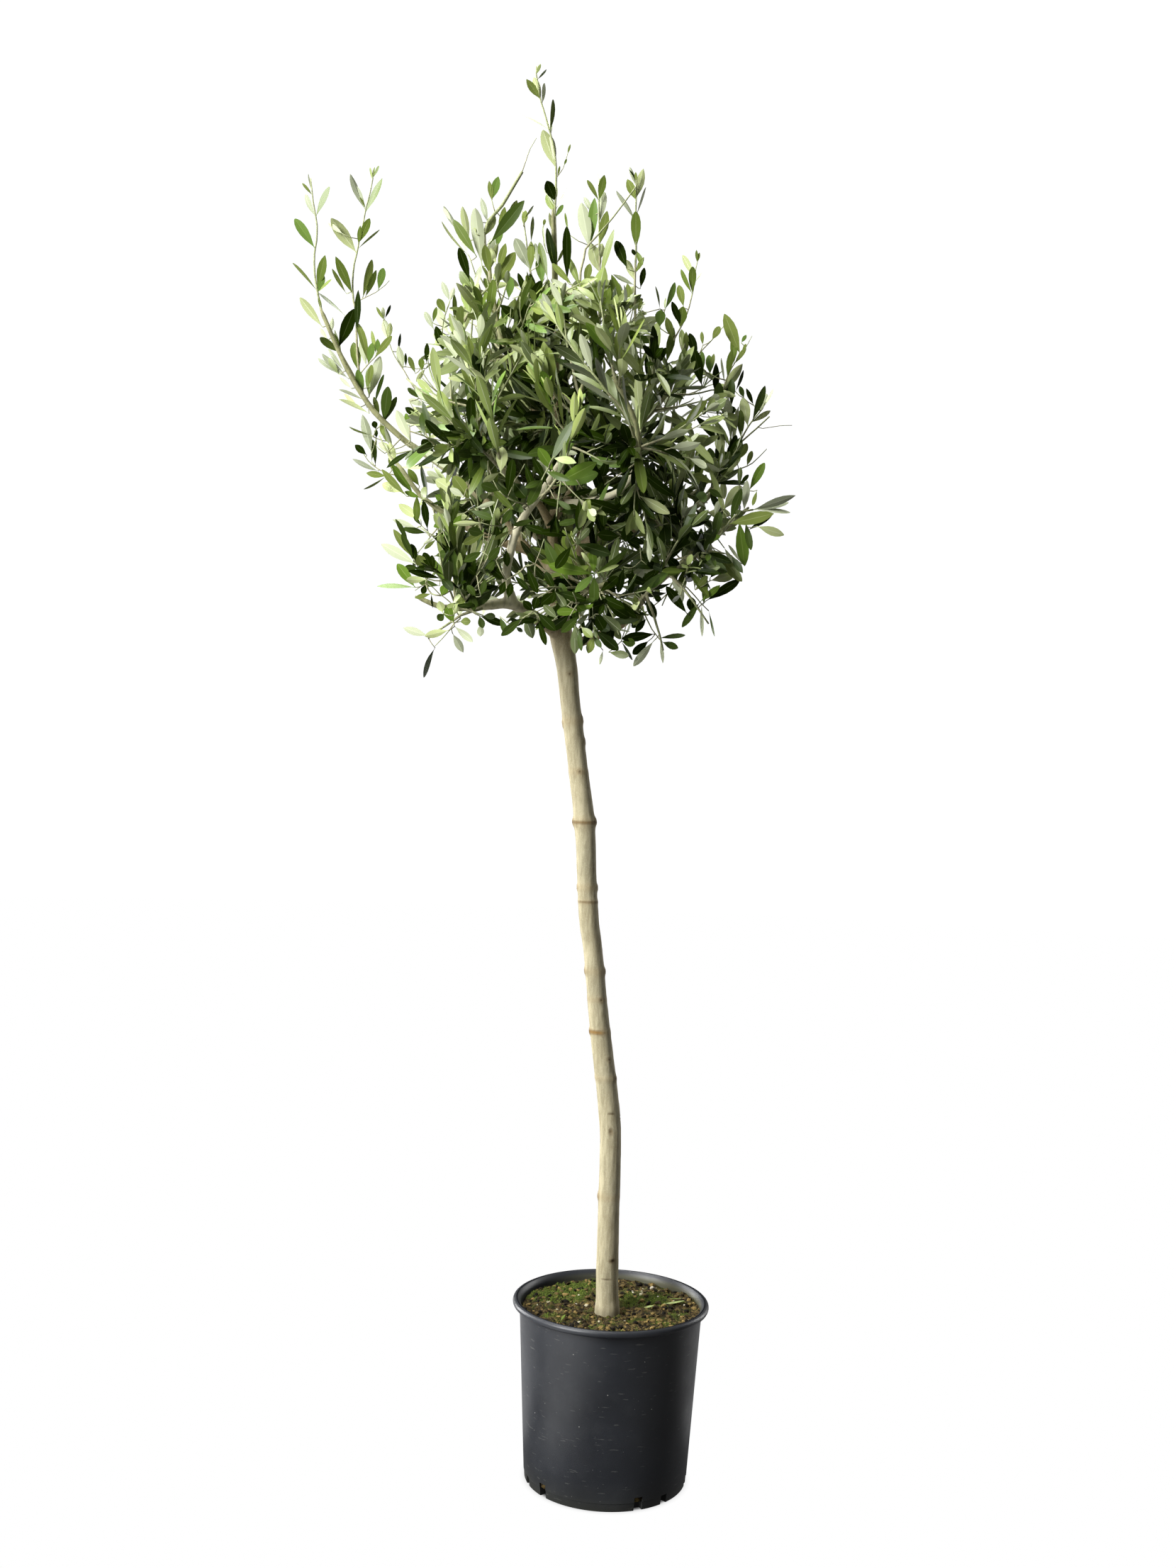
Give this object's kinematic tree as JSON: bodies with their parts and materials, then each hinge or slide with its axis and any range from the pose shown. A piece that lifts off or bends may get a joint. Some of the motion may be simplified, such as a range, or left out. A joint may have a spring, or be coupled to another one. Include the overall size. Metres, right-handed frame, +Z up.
{
  "type": "potted olive tree",
  "caption": "Young olive tree grown as a standard, with a slender leaning trunk and an open round crown of narrow leaves, in a tapered round nursery pot filled with soil.",
  "frame": {"origin": "middle of the flat underside of the pot, on the ground", "axes": "+Z up, from the pot to the top of the tree; -Y the front, the side seen in the picture; +X the tree's right as seen from the front. The trunk leans towards -X."},
  "size_m": [0.6285, 0.506, 1.7371],
  "materials": {
    "pot_plastic": "satin",
    "soil": "matte",
    "trunk_bark": "matte",
    "bough_bark": "matte",
    "leaf_green": "matte",
    "leaf_pale_green": "matte",
    "leaf_dark_green": "matte",
    "leaf_silver": "matte"
  },
  "bodies": {
    "root": {"pot": "pot_plastic", "soil": "soil", "trunk": "trunk_bark", "bough_leader": "bough_bark", "bough_low_left": "bough_bark", "bough_front_rise": "bough_bark", "bough_far_left": "bough_bark", "bough_left": "bough_bark", "bough_right_back": "bough_bark", "bough_right": "bough_bark", "bough_right_rise": "bough_bark", "bough_front_right": "bough_bark", "bough_front_left": "bough_bark", "bough_low_right": "bough_bark", "bough_low_front": "bough_bark", "bough_back_left": "bough_bark", "bough_back": "bough_bark", "bough_back_low": "bough_bark", "bough_upper_left": "bough_bark", "bough_upper_right": "bough_bark", "leaves_top": "leaf_green", "leaves_upper_left": "leaf_pale_green", "leaves_upper_right": "leaf_dark_green", "leaves_right_rise": "leaf_silver", "leaves_right": "leaf_green", "leaves_low_right": "leaf_pale_green", "leaves_front_right": "leaf_dark_green", "leaves_front": "leaf_silver", "leaves_front_left": "leaf_green", "leaves_far_left": "leaf_pale_green", "leaves_left": "leaf_dark_green", "leaves_low_left": "leaf_silver", "leaves_low_front": "leaf_green", "leaves_back_left": "leaf_pale_green", "leaves_back": "leaf_dark_green", "leaves_back_right": "leaf_silver", "leaves_back_low": "leaf_green"}
  },
  "joints": []
}
